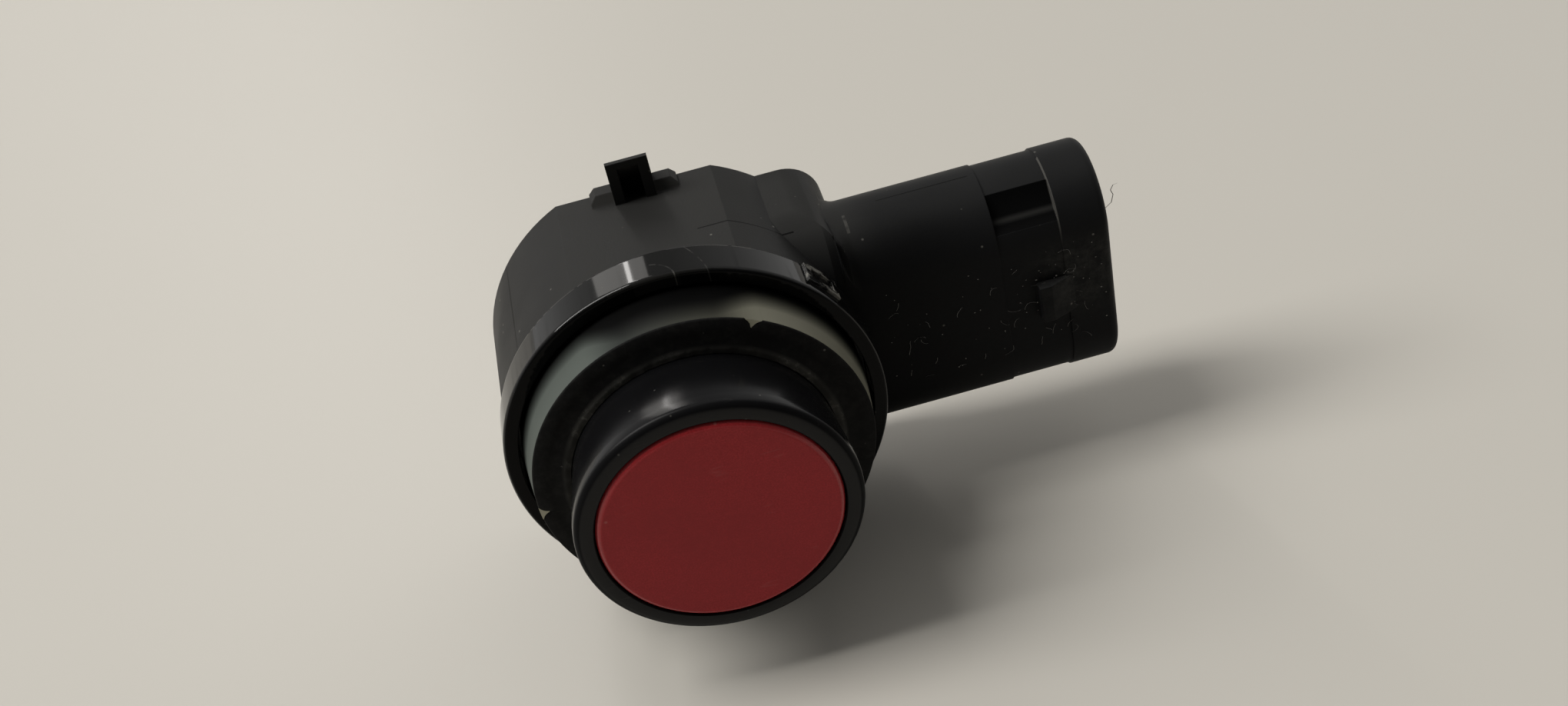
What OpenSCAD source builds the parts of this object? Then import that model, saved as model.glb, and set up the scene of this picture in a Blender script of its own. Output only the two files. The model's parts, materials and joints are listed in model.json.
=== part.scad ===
// Snap-in ultrasonic parking sensor, in millimetres.
// The barrel lies along Y, and the painted membrane face looks towards -Y. The plug socket
// reaches out towards +X. The origin is on the barrel's axis, at the rear shoulder of the collar.

/* [Nose] */
// Diameter of the painted membrane face
face_d = 15.4; // [15:0.1:16]
// How far the membrane face stands ahead of the collar
nose_len = 8.9; // [8.5:0.1:10]
// Edge radius of the membrane face
face_edge = 0.45; // [0.2:0.05:0.7]
// How far the membrane face stands proud of the sleeve's lip
face_proud = 0.12; // [0:0.02:0.3]
// Thickness of the sleeve at its lip
sleeve_t = 1.25; // [1:0.05:1.6]
// Radius of the sleeve's rounded lip
lip_r = 0.55; // [0.3:0.05:0.9]
// How much narrower the sleeve is at its root, on the radius
nose_taper = 0.5; // [0.2:0.05:0.7]

/* [Pot] */
// Thickness of the vibrating membrane
membrane_t = 0.7; // [0.5:0.05:1]
// Wall of the aluminium cup
pot_wall = 1.1; // [0.8:0.05:1.5]
// Length of the cup
pot_len = 7.5; // [7:0.1:8]
// Diameter of the piezo disc
piezo_d = 8; // [7:0.1:9]
// Thickness of the piezo disc
piezo_t = 0.4; // [0.2:0.05:0.8]
// How far the contact carrier's plug reaches into the cup
plug_len = 1.5; // [1:0.1:2.5]
// Thickness of the contact carrier's flange
flange_t = 2; // [1.5:0.1:2.5]

/* [Rings] */
// Radial width of the rubber ring
seal_w = 2.4; // [2:0.1:3]
// Thickness of the rubber ring at its inner ridge
seal_t = 0.75; // [0.7:0.05:1.2]
// How far the rubber ring's outer edge lies behind its ridge
seal_drop = 0.2; // [0.2:0.05:0.4]
// Thickness of the rubber ring at its rim
seal_rim = 0.15; // [0.1:0.05:0.3]
// Width of the rubber ring's raised ridge
ridge_w = 0.45; // [0.3:0.05:0.7]
// How far the rubber ring stands ahead of the collar
seal_ahead = 3.25; // [3:0.05:3.6]
// How far the silicone ring spreads towards its foot, on the radius
silicone_flare = 0.35; // [0.2:0.05:0.45]
// Length of that foot, inside the collar
silicone_foot = 1.9; // [1:0.1:2.1]
// Width of each silicone nib at its base
nib_w = 1.2; // [1:0.1:2]
// Radial depth of each silicone nib
nib_depth = 0.75; // [0.5:0.05:1]
// Width of each nib where its sides bend in
nib_neck = 0.55; // [0.3:0.05:0.8]
// Radial depth of that bend
nib_bend = 0.25; // [0.15:0.05:0.4]
// Number of silicone nibs
nib_count = 3; // [2:1:4]
// Angle of the first nib from the top
nib_angle = 26; // [15:1:40]

/* [Housing] */
// Clearance between the rubber ring and the collar's bore
collar_gap = 0.6; // [0.5:0.05:0.8]
// Wall of the collar
collar_wall = 0.95; // [0.8:0.05:1.3]
// Length of the collar
collar_len = 2.65; // [2.2:0.05:3.2]
// Edge radius at the collar's front
collar_edge = 0.3; // [0.1:0.05:0.45]
// Wall between the ring seat and the collar's rear shoulder
seat_wall = 0.4; // [0.3:0.05:0.8]
// Step from the collar down to the barrel, on the radius
collar_step = 0.26; // [0.15:0.01:0.4]
// Length of the barrel behind the collar
barrel_len = 10.4; // [10.2:0.1:12]
// How deep the two flats are cut into the barrel
flat_cut = 1.2; // [0.8:0.05:1.4]
// Wall between a flat and the inner bore
flat_wall = 1.25; // [1:0.05:1.6]
// Height of the squared root block
block_h = 18.6; // [17.5:0.1:20]
// Corner radius of the root block, seen from behind
block_corner = 2.6; // [1.5:0.1:3.5]
// How far the block's end stays inside the barrel's radius
block_inset = 0.15; // [0:0.05:0.5]
// Width of the low framed pad on the collar
frame_w = 2.7; // [2:0.1:3.5]
// Height of that pad
frame_h = 0.2; // [0.1:0.02:0.22]
// Length of that pad along the barrel
frame_len = 1.9; // [1.5:0.1:2.1]
// Width of the rim that is left round the pad's hollow
frame_rim = 0.45; // [0.3:0.05:0.6]
// Angle of that pad from the top
frame_angle = 52; // [46:1:54]

/* [Latch boxes] */
// Width of a latch box
latch_w = 2.8; // [2.4:0.1:3.5]
// Height of a latch box above its flat
latch_h = 3.1; // [2.5:0.1:4]
// Depth of a latch box along the barrel
latch_depth = 1.85; // [1.5:0.05:3]
// Side wall of a latch box
latch_wall = 0.7; // [0.4:0.05:0.8]
// Roof of a latch box
latch_roof = 0.45; // [0.35:0.05:0.6]
// Depth of a latch box's level crest
latch_crest = 0.35; // [0.2:0.05:0.6]
// Height of a latch box at its sloping back
latch_heel = 1.3; // [1:0.1:2]
// Width of the raised pad under a latch box
pad_w = 5.9; // [4.5:0.1:7]
// Height of the raised pad
pad_h = 0.6; // [0.3:0.05:0.8]
// Bevel at the ends of that pad
pad_bevel = 0.4; // [0.2:0.05:0.6]
// How far the pad's front lies behind the latch box's front
pad_set = 1.2; // [0.4:0.05:1.4]
// Length of each pad's sloping front
pad_ramp = 0.8; // [0.4:0.1:1.1]

/* [Socket] */
// Height of the socket's round-ended section
sock_h = 16.5; // [15.5:0.1:17.5]
// Width of that section along the barrel
sock_w = 8.46; // [8.2:0.02:8.8]
// How far the socket lies behind the collar's shoulder
sock_gap = 1.1; // [0.8:0.05:1.3]
// How far the socket reaches past the barrel
sock_reach = 17; // [16:0.1:19]
// Wall of the socket
sock_wall = 1.15; // [0.9:0.05:1.4]
// Depth of the socket's hollow
sock_depth = 11.7; // [11:0.1:13]
// Edge radius at the socket's mouth
mouth_edge = 0.6; // [0.3:0.05:0.8]
// Width of the band at the mouth
band_w = 3.3; // [2.5:0.1:4]
// Width of the lowered strip behind the band
strip_w = 4.2; // [4:0.1:5]
// How far that strip is lowered
strip_down = 0.1; // [0.05:0.01:0.2]
// Flare where the socket leaves the block
flare_r = 1.1; // [0.5:0.1:1.4]
// Width of the plug's catch on the socket's front
catch_w = 2.8; // [2.2:0.1:4]
// Height of that catch
catch_h = 0.7; // [0.5:0.05:1]
// How far the catch's steep face lies behind the band
catch_set = 2; // [1.8:0.1:3]

/* [Electronics] */
// Thickness of the circuit board
board_t = 1; // [0.8:0.1:1.2]
// How far the board's seat lies behind the collar's shoulder
board_set = 2.75; // [2.5:0.05:2.9]
// Width of the ledge that the board sits on
board_ledge = 0.6; // [0.4:0.05:0.8]
// Side of a square terminal
terminal_t = 0.64; // [0.5:0.02:0.8]
// Spacing of the terminals
terminal_pitch = 2.54; // [2.4:0.02:2.6]
// How far the terminals' tips lie inside the mouth
terminal_inset = 4.8; // [4.5:0.1:5.5]
// Thickness of the rear cover
cover_t = 1.55; // [1.2:0.05:1.6]
// Width of the ledge that the rear cover sits on
cover_ledge = 0.5; // [0.4:0.05:0.55]

/* [Hidden] */
$fn = 96;

// Radial clearance between pieces that sit inside one another
fit_gap = 0.05;
// Overshoot of a cut past the face that it leaves
cut = 0.5;

// Radii, from the membrane outwards
pot_r = face_d / 2;
sleeve_in_r = pot_r + fit_gap;
nose_r = sleeve_in_r + sleeve_t;
root_r = nose_r - nose_taper;
ring_in_r = root_r + fit_gap;
seal_r = ring_in_r + seal_w;
collar_bore_r = seal_r + collar_gap;
collar_r = collar_bore_r + collar_wall;
barrel_r = collar_r - collar_step;
flat_z = barrel_r - flat_cut;
bore_r = flat_z - flat_wall;
front_bore_r = bore_r - board_ledge;
cover_bore_r = bore_r + cover_ledge;

// Places along the barrel, from the front
collar_y = -collar_len;
face_y = collar_y - nose_len;
lip_y = face_y + face_proud;
membrane_back_y = face_y + membrane_t;
foam_y = membrane_back_y + piezo_t;
pot_back_y = face_y + pot_len;
plug_y = pot_back_y - plug_len;
flange_back_y = pot_back_y + flange_t;
ridge_y = collar_y - seal_ahead;
seal_edge_y = ridge_y + seal_drop;
seal_back_y = ridge_y + seal_t;
seal_rim_y = seal_edge_y + seal_rim;
seat_y = -seat_wall;
board_y = board_set;
board_back_y = board_y + board_t;
cover_inset = 0.08;
cover_y = barrel_len - cover_inset - cover_t;

// Places along the socket, and its middle plane
block_x = barrel_r - block_inset;
mouth_x = barrel_r + sock_reach;
band_x = mouth_x - band_w;
strip_x = band_x - strip_w;
floor_x = mouth_x - sock_depth;
sock_r = sock_w / 2;
sock_y = sock_gap + sock_r;

// The pot's contacts
contact_x = 2.5;
contact_r = 0.3;
contact_hole_r = contact_r + fit_gap;
contact_reach = 0.4;
lead_r = 0.12;
foam_hole_r = 0.4;

// The board's parts
terminal_set = 2.9;
terminal_x = bore_r - terminal_set;
terminal_hole_r = terminal_t * sqrt(2) / 2 + fit_gap;
terminal_stub = 0.35;
chip_side = 5;
chip_t = 0.9;
chip_z = 4.6;
core_w = 7;
core_room = 0.62;
core_t = cover_y - board_back_y - core_room;
core_depth = 3.2;
core_leg = 1.2;
core_post = 1.7;
core_x = -2;
core_z = 4.5;
coil_wall = 1.35;
capacitor_len = 2;
capacitor_side = 1.25;
capacitor_z = -4.6;
capacitor_step = 3.4;

// Shapes that repeat

// A profile in (radius, Y), turned about the barrel's axis
module turned() {
    rotate([-90, 0, 0]) rotate_extrude() children();
}

// A round bar on the barrel's axis, or on a line beside it
module bar_y(r, y0, y1, x = 0, z = 0) {
    translate([x, y0, z]) rotate([-90, 0, 0]) cylinder(r = r, h = y1 - y0);
}

// An outline in (X, Z), extruded from y0 to y1
module along_y(y0, y1) {
    translate([0, y1, 0]) rotate([90, 0, 0]) linear_extrude(y1 - y0) children();
}

// An outline in (Y, Z), extruded from x0 to x1
module along_x(x0, x1) {
    translate([x0, 0, 0]) rotate([90, 0, 90]) linear_extrude(x1 - x0) children();
}

// A rectangle with rounded corners, from its lower left corner
module rounded_square(size, r) {
    translate([r, 0]) square([size[0] - 2 * r, size[1]]);
    translate([0, r]) square([size[0], size[1] - 2 * r]);
    for (x = [r, size[0] - r], y = [r, size[1] - r])
        translate([x, y]) circle(r);
}

// A round-ended bar along X: its half profile in (radius, X) is turned at both ends, and its whole
// profile in (X, Y) runs between them
module round_ended(x0, half_h, r) {
    for (side = [-1, 1])
        translate([x0, sock_y, side * (half_h - r)]) rotate([0, 90, 0]) rotate_extrude() children(0);
    translate([x0, sock_y, r - half_h]) linear_extrude(2 * (half_h - r)) children(1);
}

// A plain stretch of the socket's outside, grown by a margin
module sock_stretch(x0, x1, grow = 0) {
    round_ended(x0, sock_h / 2 + grow, sock_r + grow) {
        square([sock_r + grow, x1 - x0]);
        translate([0, -sock_r - grow]) square([x1 - x0, sock_w + 2 * grow]);
    }
}

// The band at the mouth, with its rounded outer edge
module sock_band() {
    inner = sock_r - mouth_edge;
    straight = band_w - mouth_edge;
    round_ended(band_x, sock_h / 2, sock_r) {
        union() {
            square([sock_r, straight]);
            square([inner, band_w]);
            translate([inner, straight]) circle(mouth_edge);
        }
        union() {
            translate([0, -sock_r]) square([straight, sock_w]);
            translate([0, -inner]) square([band_w, 2 * inner]);
            for (side = [-1, 1]) translate([straight, side * inner]) circle(mouth_edge);
        }
    }
}

// The concave flare at the socket's root, kept flush with the block's front and back
module sock_flare() {
    x0 = block_x - flare_r / 2;
    y0 = sock_gap;
    intersection() {
        round_ended(x0, sock_h / 2, sock_r) {
            difference() {
                square([sock_r + flare_r, flare_r]);
                translate([sock_r + flare_r, flare_r]) circle(flare_r);
            }
            difference() {
                translate([0, -sock_r - flare_r]) square([flare_r, sock_w + 2 * flare_r]);
                for (side = [-1, 1])
                    translate([flare_r, side * (sock_r + flare_r)]) circle(flare_r);
            }
        }
        translate([x0, y0, -sock_h]) cube([flare_r, barrel_len - y0, 2 * sock_h]);
    }
}

// The housing's own features

module barrel() {
    intersection() {
        bar_y(barrel_r, -fit_gap, barrel_len);
        translate([-barrel_r - cut, -cut, -flat_z])
            cube([2 * (barrel_r + cut), barrel_len + 2 * cut, 2 * flat_z]);
    }
}

module collar() {
    turned() {
        translate([0, collar_y + collar_edge]) square([collar_r, collar_len - collar_edge]);
        translate([0, collar_y]) square([collar_r - collar_edge, collar_edge]);
        translate([collar_r - collar_edge, collar_y + collar_edge]) circle(collar_edge);
    }
    framed_pad();
}

// A low pad on the collar's band, hollowed so that only its rim stands up
module framed_pad() {
    inner_w = frame_w - 2 * frame_rim;
    inner_len = frame_len - 2 * frame_rim;
    intersection() {
        bar_y(collar_r + frame_h, -frame_len, 0);
        rotate([0, frame_angle, 0]) difference() {
            translate([-frame_w / 2, -frame_len, 0]) cube([frame_w, frame_len, 2 * collar_r]);
            translate([-inner_w / 2, frame_rim - frame_len, collar_r])
                cube([inner_w, inner_len, collar_r]);
        }
    }
}

// The squared root, rounded at its corners and, towards the front, like the socket
module block() {
    front_r = sock_r;
    depth = barrel_len - sock_gap;
    intersection() {
        along_y(sock_gap, barrel_len) translate([-block_x, -block_h / 2])
            rounded_square([2 * block_x, block_h], block_corner);
        along_x(0, block_x) translate([sock_gap, -block_h / 2]) {
            translate([front_r, 0]) square([depth - front_r, block_h]);
            translate([0, front_r]) square([depth, block_h - 2 * front_r]);
            for (z = [front_r, block_h - front_r]) translate([front_r, z]) circle(front_r);
        }
    }
}

module plug_catch() {
    catch_x = band_x - catch_set;
    catch_top = 0.8;
    catch_ramp = 1.7;
    sink = 0.3;
    translate([catch_x, sock_gap, -catch_w / 2]) linear_extrude(catch_w) polygon([
        [0, sink], [0, -catch_h], [catch_top, -catch_h], [catch_top + catch_ramp, 0],
        [catch_top + catch_ramp, sink]
    ]);
}

// A shallow hollow key recess on the upper front curve, in the lowered strip
module key_recess() {
    recess_r = 5;
    recess_depth = 0.54;
    recess_tilt = 43;
    end_z = sock_h / 2 - sock_r;
    translate([0, sock_y, end_z]) rotate([-recess_tilt, 0, 0])
        along_x(strip_x, band_x) translate([recess_depth - sock_r - recess_r, 0]) circle(recess_r);
}

module socket() {
    difference() {
        union() {
            sock_stretch(0, strip_x);
            sock_stretch(strip_x, band_x, -strip_down);
            sock_band();
        }
        key_recess();
    }
    sock_flare();
    plug_catch();
}

// A latch box on the upper flat: its back slopes down, its blind pocket opens towards the front, and a
// low pad with a sloping front runs out from it to both sides
module latch_box() {
    y0 = barrel_len - latch_depth;
    pad_y = y0 + pad_set;
    half = latch_w / 2;
    inner = half - latch_wall;
    slope = (latch_h - latch_heel) / (latch_depth - latch_crest);
    pocket_top = latch_h - latch_roof;
    pocket_y = barrel_len - latch_wall;
    translate([0, 0, flat_z]) {
        difference() {
            along_x(-half, half) polygon([
                [y0, -cut], [y0, latch_h], [y0 + latch_crest, latch_h], [barrel_len, latch_heel],
                [barrel_len, -cut]
            ]);
            along_x(-inner, inner) polygon([
                [y0 - cut, 0], [y0 - cut, pocket_top], [y0, pocket_top],
                [pocket_y, pocket_top - slope * (pocket_y - y0)], [pocket_y, 0]
            ]);
        }
        for (side = [0, 1]) mirror([side, 0, 0]) intersection() {
            along_y(pad_y - pad_ramp, barrel_len) polygon([
                [inner, -cut], [pad_w / 2, -cut], [pad_w / 2, pad_h - pad_bevel],
                [pad_w / 2 - pad_bevel, pad_h], [inner, pad_h]
            ]);
            along_x(inner, pad_w / 2) polygon([
                [pad_y - pad_ramp, -cut], [pad_y - pad_ramp, 0], [pad_y, pad_h + cut],
                [barrel_len, pad_h + cut], [barrel_len, -cut]
            ]);
        }
    }
}

module inner_bores() {
    bar_y(collar_bore_r, collar_y - cut, seat_y);
    bar_y(front_bore_r, collar_y, barrel_len);
    bar_y(bore_r, board_y, barrel_len);
    bar_y(cover_bore_r, cover_y, barrel_len + cut);
}

module sock_hollow() {
    grow = -sock_wall;
    sock_stretch(floor_x, mouth_x + cut, grow);
}

module terminal_slot(z) {
    side = terminal_t + 2 * fit_gap;
    translate([front_bore_r - cut, sock_y - side / 2, z - side / 2])
        cube([floor_x - front_bore_r + 2 * cut, side, side]);
}

// Pieces

module housing() {
    color([0.09, 0.09, 0.10]) difference() {
        union() {
            barrel();
            collar();
            block();
            socket();
            latch_box();
            rotate([0, 180, 0]) latch_box();
        }
        inner_bores();
        sock_hollow();
        for (k = [-1:1]) terminal_slot(k * terminal_pitch);
    }
}

module membrane_pot() {
    color([0.55, 0.07, 0.08]) turned() difference() {
        union() {
            translate([0, face_y + face_edge]) square([pot_r, pot_len - face_edge]);
            translate([0, face_y]) square([pot_r - face_edge, face_edge]);
            translate([pot_r - face_edge, face_y + face_edge]) circle(face_edge);
        }
        translate([-pot_r, face_y - cut]) square([pot_r, pot_len + 2 * cut]);
        translate([0, membrane_back_y]) square([pot_r - pot_wall, pot_len]);
    }
}

module nose_sleeve() {
    color([0.06, 0.06, 0.07]) turned() {
        polygon([
            [sleeve_in_r, lip_y], [nose_r - lip_r, lip_y], [nose_r, lip_y + lip_r],
            [root_r, ridge_y], [root_r, seat_y], [sleeve_in_r, seat_y]
        ]);
        translate([nose_r - lip_r, lip_y + lip_r]) circle(lip_r);
    }
}

// The outline of a nib, or of the notch that it fills, pointing at the axis with hollow sides
module vee(grow) {
    rim = seal_r + grow;
    bend = seal_r - nib_bend;
    base = nib_w / 2 + 3 * grow;
    neck = nib_neck / 2 + grow;
    polygon([[-base, rim], [-neck, bend - grow], [0, seal_r - nib_depth - 2 * grow], [neck, bend - grow],
             [base, rim]]);
}

module each_nib() {
    for (k = [0:nib_count - 1])
        rotate([0, nib_angle + k * 360 / nib_count, 0]) children();
}

module seal_ring() {
    dip = 0.15;
    rim_chamfer = 0.08;
    color([0.05, 0.05, 0.05]) difference() {
        turned() polygon([
            [ring_in_r, ridge_y], [ring_in_r + ridge_w, ridge_y],
            [ring_in_r + ridge_w + dip, ridge_y + dip], [seal_r - rim_chamfer, seal_edge_y],
            [seal_r, seal_edge_y + rim_chamfer], [seal_r, seal_rim_y], [ring_in_r, seal_back_y]
        ]);
        each_nib() along_y(ridge_y - cut, seal_back_y + cut) vee(fit_gap);
    }
}

module silicone_ring() {
    foot_y = seat_y - silicone_foot;
    color([0.66, 0.69, 0.66]) {
        turned() polygon([
            [ring_in_r, seal_back_y], [seal_r, seal_rim_y], [seal_r + silicone_flare, foot_y],
            [seal_r + silicone_flare, seat_y], [ring_in_r, seat_y]
        ]);
        each_nib() intersection() {
            along_y(seal_edge_y, seal_back_y + cut) vee(0);
            bar_y(seal_r - fit_gap, seal_edge_y, seal_back_y + cut);
        }
    }
}

module piezo_disc() {
    color([0.80, 0.78, 0.70]) bar_y(piezo_d / 2, membrane_back_y, foam_y);
}

module damping_foam() {
    color([0.35, 0.35, 0.37]) difference() {
        bar_y(pot_r - pot_wall - fit_gap, foam_y, plug_y);
        for (x = [-contact_x, contact_x]) bar_y(foam_hole_r, foam_y - cut, plug_y + cut, x);
    }
}

module piezo_lead(side) {
    color([0.75, 0.45, 0.25]) bar_y(lead_r, foam_y, plug_y - contact_reach, side * contact_x);
}

module contact_carrier() {
    color([0.82, 0.80, 0.74]) difference() {
        union() {
            bar_y(pot_r - pot_wall - fit_gap, plug_y, flange_back_y);
            bar_y(pot_r, pot_back_y, flange_back_y);
        }
        for (x = [-contact_x, contact_x]) bar_y(contact_hole_r, plug_y - cut, flange_back_y + cut, x);
    }
}

module contact_pin(side) {
    color([0.80, 0.68, 0.35])
        bar_y(contact_r, plug_y - contact_reach, board_back_y + contact_reach, side * contact_x);
}

module circuit_board() {
    color([0.08, 0.30, 0.16]) difference() {
        bar_y(bore_r - fit_gap, board_y, board_back_y);
        for (x = [-contact_x, contact_x]) bar_y(contact_hole_r, board_y - cut, board_back_y + cut, x);
        for (k = [-1:1])
            bar_y(terminal_hole_r, board_y - cut, board_back_y + cut, terminal_x, k * terminal_pitch);
    }
}

module driver_chip() {
    mark_r = 0.35;
    mark_depth = 0.1;
    mark_inset = 0.8;
    color([0.13, 0.13, 0.14]) difference() {
        translate([-chip_side / 2, board_y - chip_t, chip_z - chip_side / 2])
            cube([chip_side, chip_t, chip_side]);
        bar_y(mark_r, board_y - chip_t - cut, board_y - chip_t + mark_depth,
              mark_inset - chip_side / 2, chip_z + chip_side / 2 - mark_inset);
    }
}

// An E core: three legs between two yokes
module transformer_core() {
    window_w = (core_w - 2 * core_leg - core_post) / 2;
    color([0.24, 0.23, 0.24]) translate([core_x, board_back_y, core_z - core_depth / 2]) difference() {
        translate([-core_w / 2, 0, 0]) cube([core_w, core_t, core_depth]);
        for (x = [-core_post / 2 - window_w, core_post / 2])
            translate([x, core_leg, -cut])
                cube([window_w, core_t - 2 * core_leg, core_depth + 2 * cut]);
    }
}

module transformer_coil() {
    inner_x = core_post + 2 * fit_gap;
    inner_z = core_depth + 2 * fit_gap;
    outer_x = inner_x + 2 * coil_wall;
    outer_z = inner_z + 2 * coil_wall;
    corner = 0.6;
    color([0.72, 0.38, 0.18]) translate([core_x, 0, core_z])
        along_y(board_back_y + core_leg, board_back_y + core_t - core_leg) difference() {
            translate([-outer_x / 2, -outer_z / 2]) rounded_square([outer_x, outer_z], corner);
            square([inner_x, inner_z], center = true);
        }
}

module capacitor(k) {
    cap_len = 0.4;
    skin = 0.06;
    body = capacitor_side - 2 * skin;
    color([0.66, 0.52, 0.36])
        translate([k * capacitor_step - capacitor_len / 2, board_back_y, capacitor_z]) {
            translate([0, skin, skin]) cube([capacitor_len, body, body]);
            for (x = [0, capacitor_len - cap_len])
                translate([x, 0, 0]) cube([cap_len, capacitor_side, capacitor_side]);
        }
}

// A square terminal: its tip is pointed in both views, and its foot bends down into the board
module terminal(k) {
    half = terminal_t / 2;
    tip_x = mouth_x - terminal_inset;
    point = 0.7;
    blunt = 0.12;
    module blade() {
        polygon([
            [terminal_x - half, -half], [tip_x - point, -half], [tip_x, -blunt], [tip_x, blunt],
            [tip_x - point, half], [terminal_x - half, half]
        ]);
    }
    color([0.78, 0.76, 0.70]) translate([0, sock_y, k * terminal_pitch]) {
        intersection() {
            translate([0, 0, -half]) linear_extrude(terminal_t) blade();
            along_y(-half, half) blade();
        }
        translate([terminal_x - half, board_y - terminal_stub - sock_y, -half])
            cube([terminal_t, sock_y - board_y + terminal_stub, terminal_t]);
    }
}

module rear_cover() {
    panel_inset = 2.2;
    panel_depth = 0.3;
    gate_r = 0.9;
    rim = cover_bore_r - fit_gap;
    rim_chamfer = 0.25;
    back_y = cover_y + cover_t;
    color([0.10, 0.10, 0.11]) turned() difference() {
        polygon([
            [0, cover_y], [rim, cover_y], [rim, back_y - rim_chamfer], [rim - rim_chamfer, back_y],
            [0, back_y]
        ]);
        translate([gate_r, back_y - panel_depth]) square([rim - panel_inset - gate_r, cut]);
    }
}

housing();
membrane_pot();
nose_sleeve();
seal_ring();
silicone_ring();
piezo_disc();
damping_foam();
piezo_lead(-1);  // piezo_lead_1
piezo_lead(1);  // piezo_lead_2
contact_carrier();
contact_pin(-1);  // contact_pin_1
contact_pin(1);  // contact_pin_2
circuit_board();
driver_chip();
transformer_core();
transformer_coil();
capacitor(-1);  // capacitor_1
capacitor(0);  // capacitor_2
capacitor(1);  // capacitor_3
terminal(-1);  // terminal_1
terminal(0);  // terminal_2
terminal(1);  // terminal_3
rear_cover();
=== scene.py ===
"""Looks of a snap-in parking sensor: a satin black housing with a glossy collar, a red painted membrane
face, a rubber ring, a milky silicone ring, and the dust and lint of a used part."""

import json
import math
import random

import bmesh
import bpy
from bpy.props import FloatProperty, FloatVectorProperty, IntProperty, PointerProperty
from mathutils import Euler, Matrix, Vector, noise


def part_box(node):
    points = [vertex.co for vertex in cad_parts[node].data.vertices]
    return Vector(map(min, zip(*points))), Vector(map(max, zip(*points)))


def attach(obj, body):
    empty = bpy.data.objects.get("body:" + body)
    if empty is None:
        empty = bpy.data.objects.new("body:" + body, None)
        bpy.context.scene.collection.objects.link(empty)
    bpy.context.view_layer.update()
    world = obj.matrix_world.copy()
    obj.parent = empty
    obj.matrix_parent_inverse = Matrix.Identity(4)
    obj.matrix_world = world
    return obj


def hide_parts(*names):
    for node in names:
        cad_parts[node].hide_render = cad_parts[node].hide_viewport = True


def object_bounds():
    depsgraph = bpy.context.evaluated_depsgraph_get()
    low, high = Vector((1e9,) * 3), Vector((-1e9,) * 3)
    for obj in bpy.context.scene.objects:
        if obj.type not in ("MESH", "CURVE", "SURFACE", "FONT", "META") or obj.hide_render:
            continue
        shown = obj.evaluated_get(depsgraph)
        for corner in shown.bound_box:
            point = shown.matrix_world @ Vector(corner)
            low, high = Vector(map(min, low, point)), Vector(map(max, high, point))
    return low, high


bl_info = {
    "name": "Parking Sensor",
    "version": (1, 0, 0),
    "blender": (4, 5, 0),
    "location": "View3D > Sidebar > Sensor",
    "description": "Finishes a snap-in parking sensor and sets its stage",
    "category": "Object",
}

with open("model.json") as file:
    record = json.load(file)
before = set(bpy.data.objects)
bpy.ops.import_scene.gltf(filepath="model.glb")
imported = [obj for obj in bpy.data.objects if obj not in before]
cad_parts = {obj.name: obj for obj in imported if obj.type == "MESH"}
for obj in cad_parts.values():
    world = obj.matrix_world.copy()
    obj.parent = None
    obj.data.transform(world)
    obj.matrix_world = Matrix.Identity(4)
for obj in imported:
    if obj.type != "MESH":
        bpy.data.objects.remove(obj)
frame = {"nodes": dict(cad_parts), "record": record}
CAD_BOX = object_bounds()
MM = 0.001
BODY = "root"
NEAR, WELD, SLIVER = 0.002 * MM, 0.0005 * MM, 0.0001 * MM
TURN_STEPS, RIM_STEPS = 144, 1200
NIB_CURVE, NIB_BLUNT, NIB_GAIN = 0.15, 0.06, 2.5
LONG_EDGE = 1.6 * MM
LONG_SHARP = math.radians(20)

# Places that the frame gives, in metres
CUP_LOW, CUP_HIGH = (Vector(corner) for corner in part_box("membrane_pot"))
SLEEVE_LOW, SLEEVE_HIGH = (Vector(corner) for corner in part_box("nose_sleeve"))
SEAL_LOW, SEAL_HIGH = (Vector(corner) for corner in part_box("seal_ring"))
SILICONE_HIGH = Vector(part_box("silicone_ring")[1])
HOUSING_LOW, HOUSING_HIGH = (Vector(corner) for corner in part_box("housing"))
COVER_LOW, COVER_HIGH = (Vector(corner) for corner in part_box("rear_cover"))
PIN_LOW, PIN_HIGH = (Vector(corner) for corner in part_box("terminal_2"))
SOCKET_Y = PIN_HIGH.y - (PIN_HIGH.z - PIN_LOW.z) / 2
COLLAR_SEAT = next(mount for mount in frame["record"]["mounts"] if mount["name"] == "collar_seat")
COLLAR_R = COLLAR_SEAT["dims"]["r_mm"] * MM
COLLAR_STEPS, LIP_STEPS = 120, 6

# Forms of the housing that its box doesn't give: end band, key recess, latch boxes, flare and root block
SOCKET_FRONT = 1.1 * MM
BAND_X = HOUSING_HIGH.x - 3.3 * MM
STRIP_LENGTH = 4.2 * MM
KEY_CENTRE_Z, KEY_RADIUS = 4.02 * MM, 4.12 * MM
KEY_TURN, KEY_HALF = math.radians(43), math.radians(21)
# Where the painted reflection along the key recess lies, and its half width
KEY_GLINT_TURN, KEY_GLINT_HALF = math.radians(36), math.radians(5.5)
LATCH_FOOT, LATCH_FRONT = 11.05 * MM, 8.58 * MM
LATCH_HALF, RAMP_HALF = 1.45 * MM, 3.1 * MM
SOCKET_ROUND, FLARE = 4.23 * MM, 1.1 * MM
ROOT_X, ROOT_Z, ROOT_CORNER = 12.09 * MM, 9.3 * MM, 2.6 * MM

# Where the flare is scuffed, and the centre in X, centre in Y and radius of each dried drop on the collar
SCUFF_X = 12.65 * MM
DROPS = ((-3.21 * MM, -3.68 * MM, 6.48 * MM), (-0.48 * MM, -2.85 * MM, 1.66 * MM))
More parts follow.
